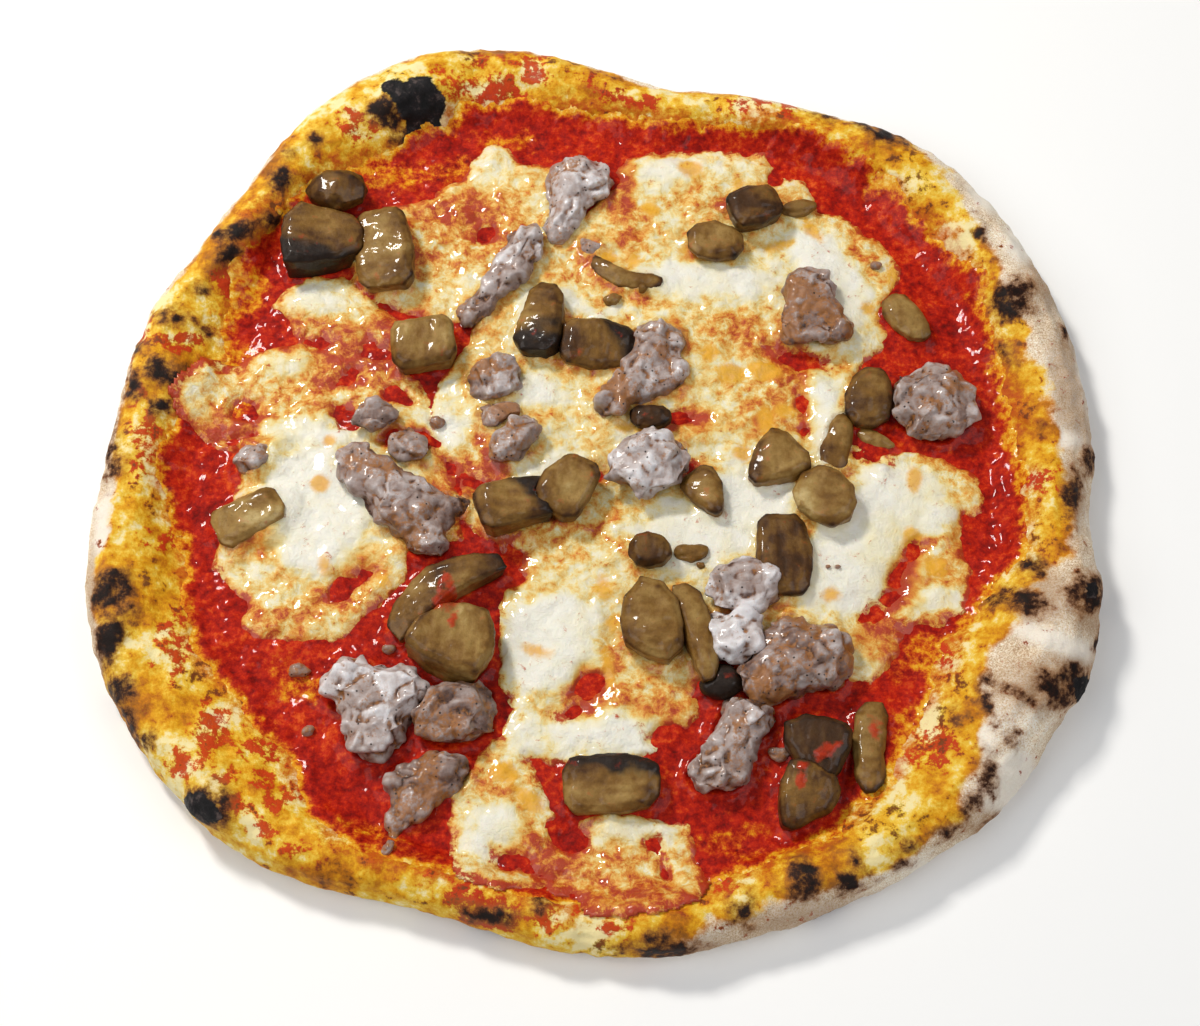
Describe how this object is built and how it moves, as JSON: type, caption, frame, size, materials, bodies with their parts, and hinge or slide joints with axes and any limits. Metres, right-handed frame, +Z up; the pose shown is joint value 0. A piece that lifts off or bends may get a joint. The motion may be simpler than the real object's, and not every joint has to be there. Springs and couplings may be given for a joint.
{
  "type": "sausage and mushroom pizza",
  "caption": "Whole wood-fired pizza with a puffed, charred rim, tomato sauce, melted mozzarella, sausage chunks and cut mushrooms.",
  "frame": {"origin": "middle of the pizza's footprint, on the flat underside that it rests on", "axes": "+Z up out of the topped face, +X to the right and +Y away from the viewer in the reference view"},
  "size_m": [0.3162, 0.3172, 0.0227],
  "materials": {
    "crust": "matte",
    "tomato_sauce": "wet",
    "mozzarella": "oily",
    "sausage": "oily",
    "mushroom": "oily"
  },
  "bodies": {
    "root": {"crust": "crust", "tomato_sauce": "tomato_sauce", "mozzarella_upper_right": "mozzarella", "mozzarella_upper_left": "mozzarella", "mozzarella_left": "mozzarella", "mozzarella_middle": "mozzarella", "mozzarella_right": "mozzarella", "mozzarella_lower": "mozzarella", "mushroom_01": "mushroom", "mushroom_02": "mushroom", "mushroom_03": "mushroom", "mushroom_04": "mushroom", "mushroom_05": "mushroom", "mushroom_06": "mushroom", "mushroom_07": "mushroom", "mushroom_08": "mushroom", "mushroom_09": "mushroom", "mushroom_10": "mushroom", "mushroom_11": "mushroom", "mushroom_12": "mushroom", "mushroom_13": "mushroom", "mushroom_14": "mushroom", "mushroom_15": "mushroom", "mushroom_16": "mushroom", "mushroom_17": "mushroom", "mushroom_18": "mushroom", "mushroom_19": "mushroom", "mushroom_20": "mushroom", "mushroom_21": "mushroom", "mushroom_22": "mushroom", "mushroom_23": "mushroom", "mushroom_24": "mushroom", "mushroom_25": "mushroom", "mushroom_26": "mushroom", "mushroom_27": "mushroom", "mushroom_28": "mushroom", "mushroom_29": "mushroom", "mushroom_30": "mushroom", "mushroom_31": "mushroom", "sausage_01": "sausage", "sausage_02": "sausage", "sausage_03": "sausage", "sausage_04": "sausage", "sausage_05": "sausage", "sausage_06": "sausage", "sausage_07": "sausage", "sausage_08": "sausage", "sausage_09": "sausage", "sausage_10": "sausage", "sausage_11": "sausage", "sausage_12": "sausage", "sausage_13": "sausage", "sausage_14": "sausage", "sausage_15": "sausage", "sausage_16": "sausage", "sausage_17": "sausage", "sausage_18": "sausage", "sausage_19": "sausage", "sausage_20": "sausage", "sausage_21": "sausage"}
  },
  "joints": []
}
